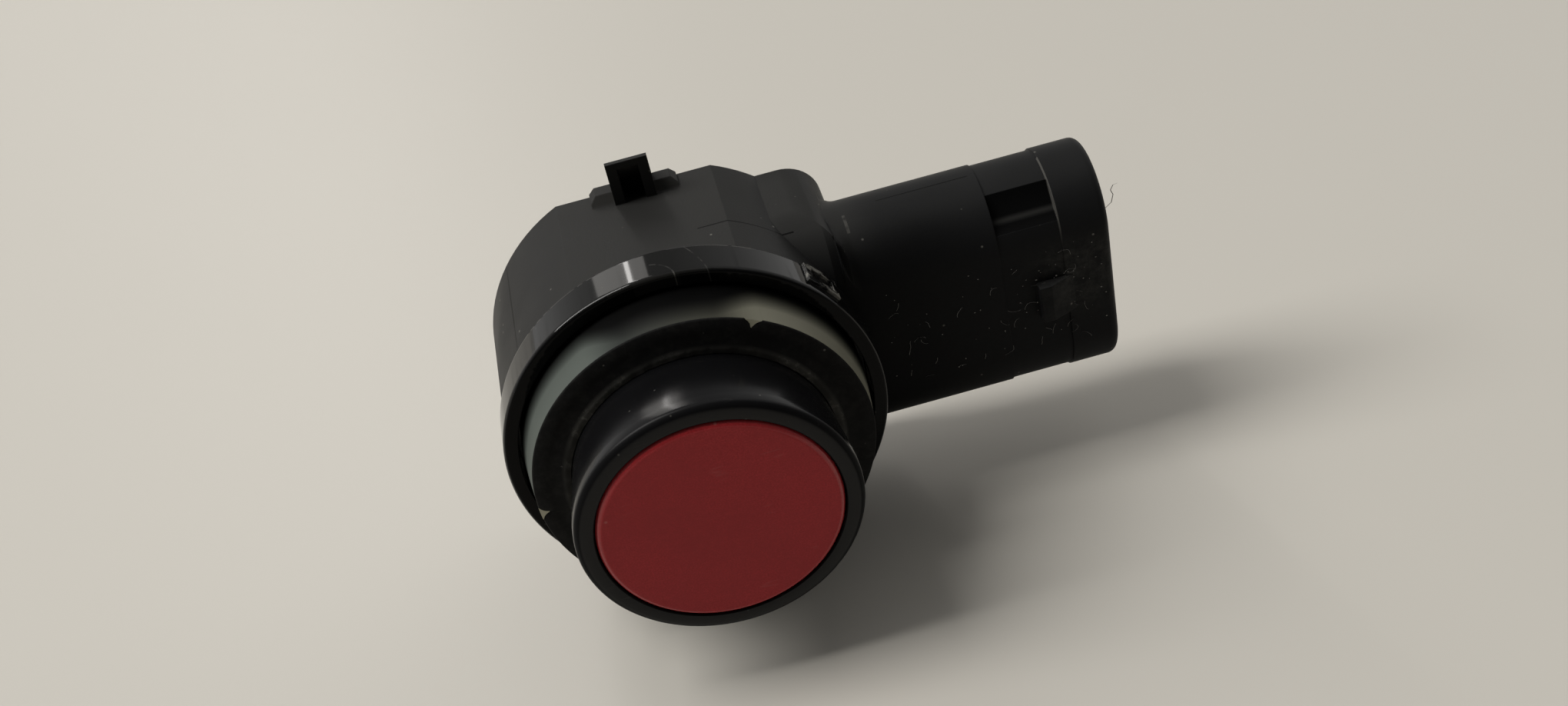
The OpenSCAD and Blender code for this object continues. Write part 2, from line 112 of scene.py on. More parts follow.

# Tones that go with the colours below: a black for seams and painted shade, a dark for the silicone's
# painted shade and a tint for its painted warm light; and the range of the cloudy noise that drives them
SEAM_AND_SHADE_BLACK, SILICONE_SHADE_DARK = (0.001, 0.001, 0.001), (0.002, 0.002, 0.002)
RUBBED_PAINT = (0.52, 0.24, 0.22)
BARE_METAL = ((0.60, 0.60, 0.61), (0.72, 0.72, 0.73))
WARM_LIGHT_TINT = (1.90, 1.64, 1.42)
CLOUD_LOW, CLOUD_HIGH = 0.3, 0.7

# How high a direction points, from level to straight up, and the sky's brightness there
SKY_LEVELS = ((0.0, 0.34), (0.18, 0.30), (0.36, 0.24), (0.64, 0.22), (0.86, 0.36), (1.0, 0.40))
SKY_TINT = (1.0, 0.99, 0.97)
FILM_WIDTH = 36.0
LINT_SEED = 11


class SensorSizes(bpy.types.PropertyGroup):
    """Sizes of the finished pieces that a user would change"""
    face_edge: FloatProperty(
        name="Face edge", description="Edge radius of the painted face",
        default=0.45 * MM, unit="LENGTH", precision=5)
    cup_wall: FloatProperty(
        name="Cup wall", description="Wall of the aluminium cup behind the face",
        default=1.1 * MM, unit="LENGTH", precision=5)
    cup_floor: FloatProperty(
        name="Membrane", description="Thickness of the vibrating membrane",
        default=0.7 * MM, unit="LENGTH", precision=5)
    sleeve_wall: FloatProperty(
        name="Sleeve wall", description="Wall of the sleeve at its lip",
        default=1.25 * MM, unit="LENGTH", precision=5)
    sleeve_taper: FloatProperty(
        name="Sleeve taper", description="How much narrower the sleeve is at its root",
        default=0.5 * MM, unit="LENGTH", precision=5)
    lip_round: FloatProperty(
        name="Lip", description="Radius of the sleeve's lip",
        default=0.55 * MM, unit="LENGTH", precision=5)
    ring_width: FloatProperty(
        name="Ring width", description="Radial width of the rubber ring",
        default=2.4 * MM, unit="LENGTH", precision=5)
    ridge_width: FloatProperty(
        name="Ridge width", description="Width of the rubber ring's raised ridge",
        default=0.45 * MM, unit="LENGTH", precision=5)
    ring_drop: FloatProperty(
        name="Ring drop", description="How far the ring's outer edge lies behind its ridge",
        default=0.2 * MM, unit="LENGTH", precision=5)
    ring_rim: FloatProperty(
        name="Ring rim", description="Thickness of the rubber ring at its rim",
        default=0.15 * MM, unit="LENGTH", precision=5)
    nib_width: FloatProperty(
        name="Nib width", description="Width of a silicone nib at its base",
        default=1.2 * MM, unit="LENGTH", precision=5)
    nib_depth: FloatProperty(
        name="Nib depth", description="Radial depth of a silicone nib",
        default=0.75 * MM, unit="LENGTH", precision=5)
    nib_angle: FloatProperty(
        name="Nib angle", description="Angle of the first nib from the top",
        default=math.radians(27.2), unit="ROTATION")
    nib_slack: FloatProperty(
        name="Nib slack", description="Gap between a nib and its notch",
        default=0.03 * MM, unit="LENGTH", precision=5)
    foot_length: FloatProperty(
        name="Foot length", description="Length of the silicone ring's foot inside the collar",
        default=1.9 * MM, unit="LENGTH", precision=5)
    collar_wall: FloatProperty(
        name="Collar wall", description="Wall of the collar at its front",
        default=0.95 * MM, unit="LENGTH", precision=5)
    collar_edge: FloatProperty(
        name="Collar edge", description="Edge radius at the collar's front",
        default=0.3 * MM, unit="LENGTH", precision=5)
    flare_lip: FloatProperty(
        name="Flare lip", description="Height of the socket's flare where it meets the root block's corner",
        default=0.33 * MM, unit="LENGTH", precision=5)
    lint_count: IntProperty(
        name="Lint", description="Number of loose fibres on the socket", default=34, min=0)
    fleck_count: IntProperty(
        name="Flecks", description="Number of dust flecks on the socket", default=70, min=0)


class SensorColours(bpy.types.PropertyGroup):
    """Colours of the finishes"""
    housing: FloatVectorProperty(
        name="Housing", description="Moulded black plastic",
        default=(0.0085, 0.0088, 0.0094), subtype="COLOR", size=3, min=0, max=1)
    face: FloatVectorProperty(
        name="Face", description="Paint of the membrane face",
        default=(0.41, 0.031, 0.036), subtype="COLOR", size=3, min=0, max=1)
    sleeve: FloatVectorProperty(
        name="Sleeve", description="Smooth black sleeve",
        default=(0.005, 0.005, 0.0055), subtype="COLOR", size=3, min=0, max=1)
    rubber: FloatVectorProperty(
        name="Rubber", description="Matte black ring",
        default=(0.006, 0.006, 0.006), subtype="COLOR", size=3, min=0, max=1)
    silicone: FloatVectorProperty(
        name="Silicone", description="Milky ring",
        default=(0.097, 0.110, 0.099), subtype="COLOR", size=3, min=0, max=1)
    dust: FloatVectorProperty(
        name="Dust", description="Dust and lint",
        default=(0.30, 0.29, 0.26), subtype="COLOR", size=3, min=0, max=1)
    lint: FloatVectorProperty(
        name="Lint", description="Loose fibres",
        default=(0.20, 0.195, 0.18), subtype="COLOR", size=3, min=0, max=1)
    table: FloatVectorProperty(
        name="Table", description="Pale floor",
        default=(0.56, 0.535, 0.485), subtype="COLOR", size=3, min=0, max=1)


class SensorStage(bpy.types.PropertyGroup):
    """Camera and light"""
    camera_place: FloatVectorProperty(
        name="Camera place", description="Where the camera stands",
        default=(1.869 * MM, -94.05 * MM, 75.662 * MM), size=3, subtype="TRANSLATION")
    camera_turn: FloatVectorProperty(
        name="Camera turn", description="How the camera is turned, with its roll",
        default=tuple(math.radians(turn) for turn in (51.286, 10.667, -11.319)),
        size=3, subtype="EULER")
    lens: FloatProperty(name="Lens", description="Focal length for a 36 mm sensor", default=42.355)
    floor_size: FloatProperty(
        name="Floor", description="Side of the floor", default=3.0, unit="LENGTH")


# Node trees

def new_material(name):
    """A material with an empty shader, its tree and the shader"""
    material = bpy.data.materials.new(name)
    material.use_nodes = True
    tree = material.node_tree
    tree.nodes.clear()
    shader = tree.nodes.new("ShaderNodeBsdfPrincipled")
    output = tree.nodes.new("ShaderNodeOutputMaterial")
    tree.links.new(shader.outputs["BSDF"], output.inputs["Surface"])
    return material, tree, shader


def feed(tree, socket, value):
    """Links an output to a socket, or sets a plain value on it"""
    if isinstance(value, bpy.types.NodeSocket):
        tree.links.new(value, socket)
    else:
        socket.default_value = value


def dress(tree, shader, colour, rough, shine=0.5, metal=0.0):
    """Feeds a shader its colour, roughness, shine and share of metal"""
    for name, value in (("Base Color", colour), ("Roughness", rough), ("Specular IOR Level", shine),
                        ("Metallic", metal)):
        feed(tree, shader.inputs[name], value)


def math_node(tree, operation, *values):
    node = tree.nodes.new("ShaderNodeMath")
    node.operation = operation
    for socket, value in zip(node.inputs, values):
        feed(tree, socket, value)
    return node.outputs[0]


def chain(tree, operation, values):
    """One operation carried on through several values"""
    result = values[0]
    for value in values[1:]:
        result = math_node(tree, operation, result, value)
    return result


def all_of(tree, *masks):
    """One where every mask is one"""
    return chain(tree, "MULTIPLY", masks)


def any_of(tree, *masks):
    """The strongest of several masks"""
    return chain(tree, "MAXIMUM", masks)


def sum_of(tree, *values):
    return chain(tree, "ADD", values)


def scaled(tree, value, share):
    return math_node(tree, "MULTIPLY", value, share)


def minus(tree, value, other):
    return math_node(tree, "SUBTRACT", value, other)


def above(tree, value, limit):
    return math_node(tree, "GREATER_THAN", value, limit)


def below(tree, value, limit):
    return math_node(tree, "LESS_THAN", value, limit)


def close_to(tree, value, target, room):
    """One where a value is within some room of a target"""
    return math_node(tree, "COMPARE", value, target, room)


def inside(tree, value, low, high):
    """One where a value lies between two limits"""
    return all_of(tree, above(tree, value, low), below(tree, value, high))


def gap(tree, value, target):
    """How far a value is from a target, either way"""
    return math_node(tree, "ABSOLUTE", minus(tree, value, target))


def distance(tree, across, along):
    """Length of a line with these two parts"""
    return math_node(tree, "SQRT", sum_of(tree, all_of(tree, across, across), all_of(tree, along, along)))


def object_place(tree):
    return tree.nodes.new("ShaderNodeTexCoord").outputs["Object"]


def axes_of(tree, place):
    split = tree.nodes.new("ShaderNodeSeparateXYZ")
    tree.links.new(place, split.inputs[0])
    return split.outputs[0], split.outputs[1], split.outputs[2]


def normal_axes(tree):
    """The surface normal's parts along X, Y and Z"""
    return axes_of(tree, tree.nodes.new("ShaderNodeTexCoord").outputs["Normal"])


def noise_value(tree, place, scale, detail=2.0, roughness=0.5):
    node = tree.nodes.new("ShaderNodeTexNoise")
    tree.links.new(place, node.inputs["Vector"])
    node.inputs["Scale"].default_value = scale
    node.inputs["Detail"].default_value = detail
    node.inputs["Roughness"].default_value = roughness
    return node.outputs["Fac"]


def span(tree, value, low, high, to_low=0.0, to_high=1.0):
    """Maps a value from one range to another and clamps it"""
    node = tree.nodes.new("ShaderNodeMapRange")
    feed(tree, node.inputs["Value"], value)
    for name, number in (("From Min", low), ("From Max", high), ("To Min", to_low), ("To Max", to_high)):
        feed(tree, node.inputs[name], number)
    return node.outputs["Result"]


def soft_span(tree, value, low, high, to_low=0.0, to_high=1.0):
    """Like span, with soft ends"""
    result = span(tree, value, low, high, to_low, to_high)
    result.node.interpolation_type = "SMOOTHSTEP"
    return result


def between(tree, mask, off, on):
    """A value that goes from one level to another with a mask"""
    return span(tree, mask, 0.0, 1.0, off, on)


def by_clouds(tree, clouds, low, high):
    """A value that drifts between two levels with a cloudy noise"""
    return span(tree, clouds, CLOUD_LOW, CLOUD_HIGH, low, high)


def mix_colour(tree, share, first, second):
    node = tree.nodes.new("ShaderNodeMix")
    node.data_type = "RGBA"
    feed(tree, node.inputs["Factor"], share)
    feed(tree, node.inputs["A"], first if isinstance(first, bpy.types.NodeSocket) else (*first, 1.0))
    feed(tree, node.inputs["B"], second if isinstance(second, bpy.types.NodeSocket) else (*second, 1.0))
    return node.outputs["Result"]


def shade(colour, share):
    """A colour made darker or lighter"""
    return tuple(min(1.0, share * part) for part in colour)


def toned(tree, share, colour, low, high):
    """A colour that drifts between a darker and a lighter tone"""
    return mix_colour(tree, share, shade(colour, low), shade(colour, high))


def turned_place(tree, place, turn, scale):
    """Place turned and stretched, so that a pattern runs one way"""
    node = tree.nodes.new("ShaderNodeMapping")
    tree.links.new(place, node.inputs["Vector"])
    node.inputs["Rotation"].default_value = turn
    node.inputs["Scale"].default_value = scale
    return node.outputs["Vector"]


def scratches(tree, place, turn, fineness, share):
    """Thin marks that run one way, broken into short lengths"""
    stretch, thin, middle = (0.06, 1.0, 1.0), 0.012, 0.5
    streaks = noise_value(tree, turned_place(tree, place, turn, stretch), fineness, detail=1.0)
    lines = span(tree, gap(tree, streaks, middle), 0.0, thin, 1.0, 0.0)
    breaks = span(tree, noise_value(tree, place, scale=420.0), 1.0 - share, 1.0 - share + 0.06)
    return all_of(tree, lines, breaks)


def specks(tree, place, scale, size, share):
    """Small round flecks: one to a cell, and only in some cells"""
    node = tree.nodes.new("ShaderNodeTexVoronoi")
    tree.links.new(place, node.inputs["Vector"])
    node.inputs["Scale"].default_value = scale
    spots = span(tree, node.outputs["Distance"], size * 0.5, size, 1.0, 0.0)
    tint = tree.nodes.new("ShaderNodeSeparateColor")
    tree.links.new(node.outputs["Color"], tint.inputs[0])
    return all_of(tree, spots, below(tree, tint.outputs[0], share))


def bump(tree, shader, height, strength, depth, edge=0.0):
    """Fine relief, over edges that are softened by a radius where one is given"""
    node = tree.nodes.new("ShaderNodeBump")
    if edge:
        soft = tree.nodes.new("ShaderNodeBevel")
        soft.samples = 6
        soft.inputs["Radius"].default_value = edge
        tree.links.new(soft.outputs["Normal"], node.inputs["Normal"])
    node.inputs["Strength"].default_value = strength
    node.inputs["Distance"].default_value = depth
    feed(tree, node.inputs["Height"], height)
    tree.links.new(node.outputs["Normal"], shader.inputs["Normal"])


# Finishes

def parting_lines(tree, x, y, z):
    """Fine moulding lines along the socket's crown, over the barrel's flat and down its flank"""
    thin, wide = 0.045 * MM, 0.055 * MM
    crown_foot, belt_foot, flank_front = 7 * MM, 6 * MM, 1 * MM
    belt_y, flank_x, flank_z = 3.46 * MM, -9 * MM, 7.55 * MM
    crown = all_of(tree, close_to(tree, y, SOCKET_Y, thin), above(tree, z, crown_foot),
                   inside(tree, x, 15 * MM, 21.2 * MM))
    belt = all_of(tree, close_to(tree, y, belt_y, wide), above(tree, z, belt_foot),
                  inside(tree, x, 3.3 * MM, 9.2 * MM))
    flank = all_of(tree, close_to(tree, z, flank_z, thin), below(tree, x, flank_x),
                   above(tree, y, flank_front))
    return any_of(tree, crown, belt, flank)


def key_masks(tree, y, z):
    """One on the floor of the socket's hollow key recess, which takes painted shade, and one on the painted
    reflection along it
    """
    out, up = minus(tree, SOCKET_Y, y), minus(tree, z, KEY_CENTRE_Z)
    turn = math_node(tree, "ARCTAN2", up, out)
    floor = all_of(tree, close_to(tree, turn, KEY_TURN, KEY_HALF),
                   below(tree, distance(tree, out, up), KEY_RADIUS))
    key_glint = all_of(tree, floor, soft_span(tree, gap(tree, turn, KEY_GLINT_TURN), 0.0, KEY_GLINT_HALF, 1.0, 0.0))
    return minus(tree, floor, scaled(tree, key_glint, 0.7)), key_glint


def dried_drops(tree, place, on_collar):
    """The thin, broken outlines that two dried drops left on the collar"""
    x, y, z = axes_of(tree, place)
    left_end, line = -0.2 * MM, 0.04 * MM
    outlines = []
    for centre_x, centre_y, radius in DROPS:
        from_centre = distance(tree, minus(tree, x, centre_x), minus(tree, y, centre_y))
        outlines.append(close_to(tree, from_centre, radius, line))
    return all_of(tree, on_collar, above(tree, z, 0.0), above(tree, x, left_end), any_of(tree, *outlines),
                  span(tree, noise_value(tree, place, scale=1400.0), 0.42, 0.58))


def housing_dust_and_glints(tree, place, clouds, key_glint, residue):
    """Share of dust and painted light: a film on what looks up, smears and scuffs on the socket and drops,
    with painted highlights on the end band's step, the latch fronts, the pad ramps and the key recess
    """
    x, y, z = axes_of(tree, place)
    _, facing, upward = normal_axes(tree)
    film = all_of(tree, span(tree, upward, 0.25, 0.95, 0.0, 0.055), span(tree, clouds, 0.2, 0.8, 0.8, 1.2),
                  soft_span(tree, x, 11 * MM, 15 * MM, 1.0, 0.24))
    rubbed = all_of(tree, soft_span(tree, x, 22.5 * MM, 26.5 * MM), soft_span(tree, z, -3 * MM, 0.5 * MM),
                    soft_span(tree, z, 5 * MM, 2.5 * MM), below(tree, y, 1.6 * MM))
    crumbs = noise_value(tree, place, scale=900.0, detail=5.0, roughness=0.75)
    smear = all_of(tree, rubbed, span(tree, crumbs, 0.4, 0.75, 0.0, 0.10))
    # Painted highlight: a pale line along the end band's step, where it catches the light
    band_glint = all_of(tree, close_to(tree, x, BAND_X, 0.05 * MM), soft_span(tree, z, 3.4 * MM, 6.5 * MM),
                  below(tree, y, SOCKET_Y))
    on_latch = above(tree, z, LATCH_FOOT)
    # Painted light: the latch box's front faces and the pads' front ramps are made paler
    latch = all_of(tree, on_latch, below(tree, facing, -0.5), close_to(tree, x, 0.0, LATCH_HALF),
                   below(tree, y, LATCH_FRONT))
    ramps = all_of(tree, on_latch, inside(tree, facing, -0.9, -0.3), close_to(tree, x, 0.0, RAMP_HALF))
    scuff = all_of(tree, close_to(tree, x, SCUFF_X, 0.10 * MM),
                   inside(tree, y, 3.3 * MM, 4.75 * MM), above(tree, z, 7 * MM),
                   span(tree, noise_value(tree, place, scale=2600.0, detail=3.0), 0.35, 0.55))
    # The latch fronts, the pad ramps and the key recess take painted light, the band's step a painted
    # highlight
    shares = ((band_glint, 0.22), (any_of(tree, latch, key_glint), 0.055), (ramps, 0.09), (scuff, 0.12),
              (residue, 0.05))
    return sum_of(tree, film, smear, *(scaled(tree, mask, share) for mask, share in shares))


def housing_finish(colours):
    """Satin moulded black: glossy on the collar, with parting lines, wear and dust, painted highlights and
    painted shade
    """
    material, tree, shader = new_material("satin_black_moulding")
    place = object_place(tree)
    x, y, z = axes_of(tree, place)
    facing = normal_axes(tree)[1]
    clouds = noise_value(tree, place, scale=160.0, detail=3.0)
    grain = noise_value(tree, place, scale=7000.0)
    on_collar = below(tree, y, 0.02 * MM)
    on_end = all_of(tree, on_collar, below(tree, facing, -0.8))
    seams = parting_lines(tree, x, y, z)
    on_strip = inside(tree, x, BAND_X - STRIP_LENGTH, BAND_X - 0.01 * MM)
    recess, key_glint = (all_of(tree, on_strip, mask) for mask in key_masks(tree, y, z))
    residue = dried_drops(tree, place, on_collar)
    pad_wear = all_of(tree, on_collar, above(tree, distance(tree, x, z), COLLAR_R + 0.03 * MM),
                      span(tree, noise_value(tree, place, scale=1500.0, detail=3.0), 0.42, 0.6))
    flecks = specks(tree, place, scale=1500.0, size=0.16, share=0.10)
    # Besides real dust, this share carries painted highlights on the band's step, the latch fronts, the pad
    # ramps and the key recess
    dust = any_of(tree, housing_dust_and_glints(tree, place, clouds, key_glint, residue), scaled(tree, flecks, 0.4),
                  scaled(tree, pad_wear, 0.5))
    dusted_and_glinting = mix_colour(tree, dust, toned(tree, clouds, colours.housing, 0.85, 1.25), colours.dust)
    bare = minus(tree, on_collar, any_of(tree, pad_wear, residue))
    # Painted shadow: the socket's front faces darkened next to the root, where the barrel shades them
    root = all_of(tree, inside(tree, x, 11 * MM, 23 * MM), soft_span(tree, x, 13 * MM, 23 * MM, 0.6, 0.0),
                  span(tree, facing, -0.3, -0.8))
    # Towards black: the bare collar and the parting lines in their own colour, with painted shade in the
    # key recess and by the root
    dark = any_of(tree, scaled(tree, bare, 0.8), seams, scaled(tree, recess, 0.75), root)
    polish = any_of(tree, on_collar, scaled(tree, recess, 0.6))
    satin = minus(tree, 1.0, polish)
    rough = sum_of(tree, all_of(tree, by_clouds(tree, clouds, 0.045, 0.075), polish),
                   all_of(tree, by_clouds(tree, clouds, 0.40, 0.54), satin))
    shine = between(tree, on_collar, span(tree, facing, -0.9, -0.5, 0.06, 0.09), 0.27)
    dress(tree, shader, mix_colour(tree, dark, dusted_and_glinting, SEAM_AND_SHADE_BLACK), rough,
          shine=minus(tree, shine, scaled(tree, on_end, 0.20)))
    relief = minus(tree, all_of(tree, grain, satin), scaled(tree, seams, 2.0))
    bump(tree, shader, relief, strength=0.35, depth=0.02 * MM, edge=0.10 * MM)
    return material


def face_finish(colours):
    """Satin red paint on the face, and bare aluminium behind it"""
    material, tree, shader = new_material("red_face_paint")
    place = object_place(tree)
    painted = below(tree, axes_of(tree, place)[1], CUP_LOW.y + 1.5 * MM)
    clouds = noise_value(tree, place, scale=220.0, detail=3.0)
    grain = noise_value(tree, place, scale=9000.0)
    blotches = noise_value(tree, place, scale=2600.0, detail=3.0, roughness=0.6)
    mottle = sum_of(tree, scaled(tree, clouds, 0.5), scaled(tree, blotches, 0.5))
    paint = toned(tree, span(tree, mottle, 0.38, 0.62), colours.face, 0.88, 1.12)
    grained = mix_colour(tree, span(tree, grain, 0.35, 0.65), paint, shade(colours.face, 0.82))
    scuffs = scratches(tree, place, turn=(0.0, 0.3, 0.0), fineness=700.0, share=0.42)
    flecks = specks(tree, place, scale=900.0, size=0.12, share=0.06)
    marks = any_of(tree, scaled(tree, scuffs, 0.10), scaled(tree, flecks, 0.3))
    marked = mix_colour(tree, marks, grained, RUBBED_PAINT)
    bare = mix_colour(tree, clouds, *BARE_METAL)
    on_rim = all_of(tree, painted, span(tree, normal_axes(tree)[1], -0.98, -0.9))
    dress(tree, shader, mix_colour(tree, painted, bare, marked),
          between(tree, on_rim, by_clouds(tree, clouds, 0.36, 0.46), 0.20),
          shine=between(tree, on_rim, 0.15, 0.45), metal=minus(tree, 1.0, painted))
    waves = noise_value(tree, place, scale=1300.0, detail=1.0)
    bump(tree, shader, sum_of(tree, scaled(tree, grain, 0.5), waves), strength=0.16, depth=0.02 * MM)
    return material


def sleeve_finish(colours):
    """Smooth half-gloss black with faint rub marks"""
    material, tree, shader = new_material("half_gloss_sleeve")
    place = object_place(tree)
    facing = normal_axes(tree)[1]
    clouds = noise_value(tree, place, scale=300.0, detail=3.0)
    rubs = scratches(tree, place, turn=(0.4, 0.1, 1.2), fineness=1400.0, share=0.40)
    dust = specks(tree, place, scale=1700.0, size=0.15, share=0.07)
    marks = any_of(tree, scaled(tree, rubs, 0.03), scaled(tree, dust, 0.15))
    on_lip = span(tree, facing, -0.15, -0.5)
    on_end = span(tree, facing, -0.9, -0.98)
    clean = toned(tree, clouds, colours.sleeve, 0.85, 1.2)
    dress(tree, shader, mix_colour(tree, marks, clean, colours.dust),
          between(tree, on_lip, by_clouds(tree, clouds, 0.16, 0.22), 0.5),
          shine=sum_of(tree, between(tree, on_lip, 0.24, 0.04), scaled(tree, on_end, 0.17)))
    bump(tree, shader, noise_value(tree, place, scale=5000.0), strength=0.03, depth=0.01 * MM)
    return material


def rubber_finish(colours, ridge_radius, ridge_width):
    """Matte black rubber, greyed by dust along its ridge"""
    material, tree, shader = new_material("dusty_rubber")
    place = object_place(tree)
    x, _, z = axes_of(tree, place)
    off_ridge = gap(tree, distance(tree, x, z), ridge_radius)
    near = span(tree, off_ridge, ridge_width * 0.35, ridge_width * 0.9, 1.0, 0.0)
    crumbs = span(tree, noise_value(tree, place, scale=3200.0, detail=3.0, roughness=0.6), 0.46, 0.62)
    patches = span(tree, noise_value(tree, place, scale=260.0), 0.42, 0.60)
    film = span(tree, noise_value(tree, place, scale=1200.0, detail=4.0, roughness=0.7), 0.45, 0.75)
    flecks = specks(tree, place, scale=1600.0, size=0.16, share=0.08)
    crest = all_of(tree, near, between(tree, patches, 0.06, 0.17))
    dust = any_of(tree, crest, scaled(tree, all_of(tree, near, crumbs, patches), 0.32),
                  scaled(tree, film, 0.03), scaled(tree, flecks, 0.35))
    dress(tree, shader, mix_colour(tree, dust, colours.rubber, colours.dust),
          span(tree, dust, 0.0, 0.5, 0.66, 0.9), shine=0.09)
    pores = noise_value(tree, place, scale=4200.0, detail=3.0, roughness=0.6)
    bump(tree, shader, pores, strength=0.4, depth=0.03 * MM)
    return material


def silicone_finish(colours):
    """Milky silicone with painted light and shade: white along its rim, warmer towards its right, and
    painted shade by the collar and over the top
    """
    material, tree, shader = new_material("milky_silicone")
    place = object_place(tree)
    x, y, z = axes_of(tree, place)
    clouds = noise_value(tree, place, scale=350.0, detail=3.0)
    # Painted warm light: the ring's colour turns to a warm tone towards its right side
    warm_lit = tuple(part * tint for part, tint in zip(colours.silicone, WARM_LIGHT_TINT))
    warm_lit_tone = mix_colour(tree, span(tree, x, -3 * MM, 4 * MM), colours.silicone, warm_lit)
    # Painted shade of the collar: the ring goes dark towards the collar, further over the top than on its
    # lit left and right sides
    turn = math_node(tree, "ARCTAN2", x, z)
    lit_left = soft_span(tree, turn, math.radians(-13), math.radians(-31))
    lit_right = soft_span(tree, turn, math.radians(14), math.radians(31))
    start = between(tree, lit_left, between(tree, lit_right, -5.4 * MM, -4.4 * MM), -4.0 * MM)
    end = between(tree, lit_left, between(tree, lit_right, -3.7 * MM, -2.7 * MM), -2.4 * MM)
    # milky is the share of the ring that lies outside the painted shade
    milky = math_node(tree, "POWER", span(tree, y, start, end, 1.0, 0.0), 2.0)
    level = all_of(tree, milky, between(tree, any_of(tree, lit_left, lit_right), 0.28, 1.0),
                   by_clouds(tree, clouds, 0.9, 1.0))
    # Painted light: the nibs' front faces in a brighter warm tone
    on_nib = all_of(tree, below(tree, y, SEAL_LOW.y + 0.33 * MM),
                    span(tree, normal_axes(tree)[1], -0.4, -0.8))
    milk_and_light = mix_colour(tree, on_nib, warm_lit_tone, shade(warm_lit, 3.3))
    # The dark tone is painted shade, not a clear part of the silicone
    dress(tree, shader, mix_colour(tree, level, SILICONE_SHADE_DARK, milk_and_light), by_clouds(tree, clouds, 0.42, 0.55),
          shine=0.06)
    bump(tree, shader, noise_value(tree, place, scale=2500.0), strength=0.12, depth=0.02 * MM)
    return material


def plain_finish(name, colour, rough, metal=0.0, grain_scale=3000.0, spread=0.2):
    """A finish for small or hidden pieces: a toned colour with fine grain"""
    material, tree, shader = new_material(name)
    place = object_place(tree)
    clouds = noise_value(tree, place, scale=grain_scale * 0.2, detail=3.0)
    dress(tree, shader, toned(tree, clouds, colour, 1.0 - spread, 1.0 + spread),
          by_clouds(tree, clouds, rough * 0.85, min(1.0, rough * 1.15)), metal=metal)
    bump(tree, shader, noise_value(tree, place, scale=grain_scale), strength=0.15, depth=0.01 * MM)
    return material


def table_finish(colours):
    """Pale laminate with the faintest mottle"""
    material, tree, shader = new_material("pale_table")
    mottle = noise_value(tree, object_place(tree), scale=9.0, detail=4.0)
    dress(tree, shader, toned(tree, mottle, colours.table, 0.96, 1.03), rough=0.42)
    return material


# Meshes

def reach(v):
    """A vertex's distance from the barrel's axis"""
    return math.hypot(v.co.x, v.co.z)


def draw_in(v, depth):
    """Moves a vertex towards the barrel's axis"""
    share = (reach(v) - depth) / reach(v)
    v.co.x *= share
    v.co.z *= share


def turned_mesh(outline, steps):
    """A closed outline in (radius, Y), turned once about the barrel's axis"""
    mesh = bmesh.new()
    points = [mesh.verts.new((radius, y, 0.0)) for radius, y in outline]
    for first, second in zip(points, points[1:] + points[:1]):
        mesh.edges.new((first, second))
    bmesh.ops.spin(mesh, geom=mesh.verts[:] + mesh.edges[:], cent=(0, 0, 0), axis=(0, 1, 0),
                   angle=math.tau, steps=steps, use_merge=True)
    bmesh.ops.remove_doubles(mesh, verts=mesh.verts[:], dist=WELD)
    bmesh.ops.dissolve_degenerate(mesh, dist=SLIVER, edges=mesh.edges[:])
    bmesh.ops.recalc_face_normals(mesh, faces=mesh.faces[:])
    return mesh


def round_circle(mesh, radius, y, width, segments=5):
    """Bevels the circular edge at one corner of a turned outline"""
    corner = {v for v in mesh.verts if abs(v.co.y - y) < NEAR and abs(reach(v) - radius) < NEAR}
    ring = [e for e in mesh.edges if e.verts[0] in corner and e.verts[1] in corner]
    bmesh.ops.bevel(mesh, geom=ring, offset=width, offset_type="OFFSET", segments=segments, profile=0.5,
                    affect="EDGES", material=-1)


def add_piece(name, mesh, material, node=None, sharp=math.radians(32)):
    """Makes an object of a finished mesh and ties it to the frame; long edges turn crisp sooner"""
    for face in mesh.faces:
        face.smooth = True
    for edge in mesh.edges:
        limit = sharp if edge.calc_length() < LONG_EDGE else min(sharp, LONG_SHARP)
        edge.smooth = len(edge.link_faces) == 2 and edge.calc_face_angle(0.0) < limit
    data = bpy.data.meshes.new(name)
    mesh.to_mesh(data)
    mesh.free()
    data.materials.append(material)
    piece = bpy.data.objects.new(name, data)
    bpy.context.scene.collection.objects.link(piece)
    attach(piece, BODY)
    if node:
        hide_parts(node)
    normals = piece.modifiers.new("true_normals", "WEIGHTED_NORMAL")
    normals.keep_sharp = True


def nib_depth_at(x, z, sizes):
    """Depth of a notch in the rim at a point's angle: a cusp with hollow sides, three to a turn"""
    third = math.tau / 3
    angle = (math.atan2(x, z) - sizes.nib_angle + third / 2) % third - third / 2
    share = abs(angle) * SEAL_HIGH.x / (sizes.nib_width / 2)
    blunt = math.hypot(share, NIB_BLUNT)
    return sizes.nib_depth * NIB_GAIN * (1.0 - blunt ** NIB_CURVE) if blunt < 1.0 else 0.0


